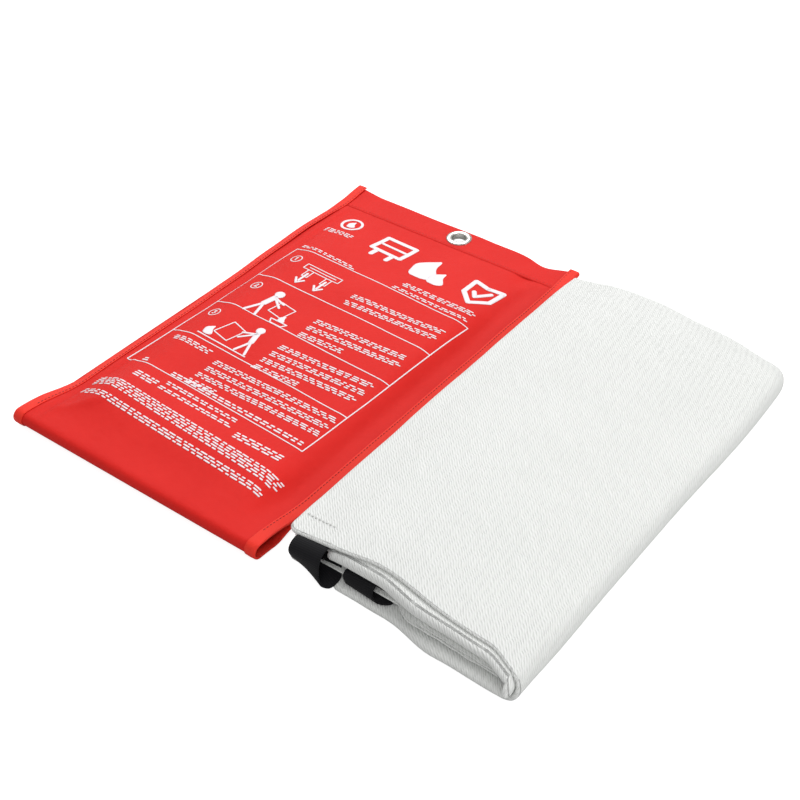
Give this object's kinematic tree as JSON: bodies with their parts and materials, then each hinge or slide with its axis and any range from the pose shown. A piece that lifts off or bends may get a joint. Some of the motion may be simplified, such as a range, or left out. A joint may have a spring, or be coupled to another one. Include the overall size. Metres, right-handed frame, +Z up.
{
  "type": "fire blanket",
  "caption": "Folded white glass-fibre fire blanket with black pull tabs, lying beside its empty red cloth pouch with a metal hanging eyelet.",
  "frame": {"origin": "under the middle of the whole set, on the surface it lies on", "axes": "+Y from the pouch's mouth to its hanging end, +X from the pouch to the blanket, +Z up"},
  "size_m": [0.427, 0.402, 0.0304],
  "materials": {
    "red_cloth": "matt woven polyester, red",
    "binding_tape": "ribbed binding tape, bright red",
    "red_thread": "red sewing thread",
    "nickel_plate": "polished nickel plate",
    "touch_fastener": "black hook and loop",
    "glass_cloth": "white twill-woven glass fibre",
    "glass_thread": "white sewing thread",
    "black_webbing": "black ribbed webbing"
  },
  "bodies": {
    "pouch": {"pouch_front_panel": "red_cloth", "pouch_back_panel": "red_cloth", "header_hem": "red_cloth", "header_seam_thread": "red_thread", "grommet_eyelet": "nickel_plate", "grommet_washer": "nickel_plate", "left_edge_binding": "binding_tape", "right_edge_binding": "binding_tape", "left_binding_thread": "red_thread", "right_binding_thread": "red_thread", "loop_strip": "touch_fastener"},
    "flap": {"closing_flap": "red_cloth", "hook_strip": "touch_fastener", "flap_hem_thread": "red_thread"},
    "blanket_lower": {"blanket_outer_sheet_lower": "glass_cloth", "blanket_leaves_lower": "glass_cloth", "blanket_hem_thread": "glass_thread", "pull_tab_right_sewn_end": "black_webbing"},
    "blanket_upper": {"blanket_outer_sheet_upper": "glass_cloth", "blanket_leaves_upper": "glass_cloth", "pull_tab_left_sewn_end": "black_webbing", "pull_tab_left_stitching": "glass_thread"},
    "left_tab": {"pull_tab_left_loop": "black_webbing"},
    "right_tab": {"pull_tab_right_loop": "black_webbing"}
  },
  "joints": [
    {"name": "flap_hinge", "type": "hinge", "parent": "pouch", "child": "flap", "pos_m": [-0.0985, -0.1948, 0.0071], "axis": [-1, 0, 0], "range_deg": [0, 179]},
    {"name": "blanket_draw", "type": "slide", "parent": "pouch", "child": "blanket_lower", "axis": [0, -1, 0], "range_m": [0, 0.4]},
    {"name": "blanket_fold", "type": "hinge", "parent": "blanket_lower", "child": "blanket_upper", "pos_m": [0.2135, -0.0106, 0.01485], "axis": [0, 1, 0], "range_deg": [0, 179]},
    {"name": "left_tab_hinge", "type": "hinge", "parent": "blanket_upper", "child": "left_tab", "pos_m": [0.0495, -0.1811, 0.02765], "axis": [-1, 0, 0], "range_deg": [0, 90]},
    {"name": "right_tab_hinge", "type": "hinge", "parent": "blanket_lower", "child": "right_tab", "pos_m": [0.087, -0.1811, 0.0136], "axis": [-1, 0, 0], "range_deg": [0, 90]}
  ]
}
